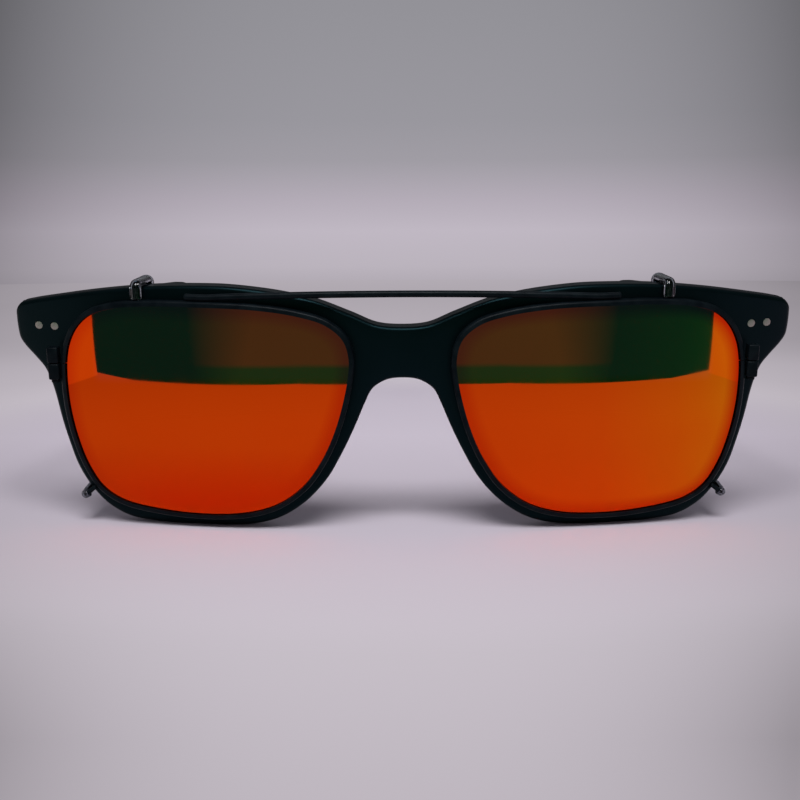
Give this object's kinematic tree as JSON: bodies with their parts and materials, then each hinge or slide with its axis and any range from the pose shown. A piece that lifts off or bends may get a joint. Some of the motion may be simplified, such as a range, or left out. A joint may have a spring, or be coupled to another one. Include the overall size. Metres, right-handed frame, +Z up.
{
  "type": "spectacles with a clip-on sun lens",
  "caption": "Square black acetate spectacle frame with a clip-on pair of orange mirrored sun lenses on a thin metal bar; temples fold and the clip swings.",
  "frame": {"origin": "middle of the base: the surface that the rims and temple tips stand on, halfway along the whole object", "axes": "+X towards the wearer's left, +Y from the front back along the temples, +Z up"},
  "size_m": [0.1444, 0.1536, 0.047],
  "materials": {
    "acetate": "satin black cellulose acetate",
    "pad_acetate": "satin black acetate, softer edges",
    "clear_lens": "clear polished lens",
    "mirror_lens": "orange-red flash mirror coating on a dark lens",
    "black_metal": "satin black plated wire",
    "steel": "satin nickel silver",
    "hinge_metal": "tumbled nickel silver",
    "clear_sleeve": "clear soft plastic sleeve"
  },
  "bodies": {
    "front": {"front_frame": "acetate", "frame_lens_left": "clear_lens", "frame_lens_right": "clear_lens", "nose_pad_left": "pad_acetate", "nose_pad_right": "pad_acetate", "front_hinge_left": "hinge_metal", "front_hinge_right": "hinge_metal", "hinge_screw_left": "steel", "hinge_screw_right": "steel", "front_rivet_inner_left": "steel", "front_rivet_inner_right": "steel", "front_rivet_outer_left": "steel", "front_rivet_outer_right": "steel"},
    "temple_left": {"temple_left": "acetate", "temple_core_left": "steel", "temple_hinge_left": "hinge_metal", "temple_rivet_lower_left": "steel", "temple_rivet_upper_left": "steel"},
    "temple_right": {"temple_right": "acetate", "temple_core_right": "steel", "temple_hinge_right": "hinge_metal", "temple_rivet_lower_right": "steel", "temple_rivet_upper_right": "steel"},
    "clip_on": {"clip_bar": "black_metal", "clip_rim_left": "black_metal", "clip_rim_right": "black_metal", "clip_lens_left": "mirror_lens", "clip_lens_right": "mirror_lens", "closing_block_upper_left": "black_metal", "closing_block_upper_right": "black_metal", "closing_block_lower_left": "black_metal", "closing_block_lower_right": "black_metal", "closing_screw_left": "black_metal", "closing_screw_right": "black_metal", "top_hook_left": "black_metal", "top_hook_right": "black_metal", "top_hook_sleeve_left": "clear_sleeve", "top_hook_sleeve_right": "clear_sleeve", "lower_prong_left": "black_metal", "lower_prong_right": "black_metal", "lower_prong_sleeve_left": "clear_sleeve", "lower_prong_sleeve_right": "clear_sleeve"}
  },
  "joints": [
    {"name": "left_temple_fold", "type": "hinge", "parent": "front", "child": "temple_left", "pos_m": [0.06535, -0.05756, 0.03854], "axis": [0, -0.1392, 0.9903], "range_deg": [0, 84]},
    {"name": "right_temple_fold", "type": "hinge", "parent": "front", "child": "temple_right", "pos_m": [-0.06535, -0.05756, 0.03854], "axis": [0, 0.1392, -0.9903], "range_deg": [0, 78]},
    {"name": "clip_swing", "type": "hinge", "parent": "front", "child": "clip_on", "pos_m": [0, -0.06429, 0.04405], "axis": [-1, 0, 0], "range_deg": [0, 30]}
  ]
}
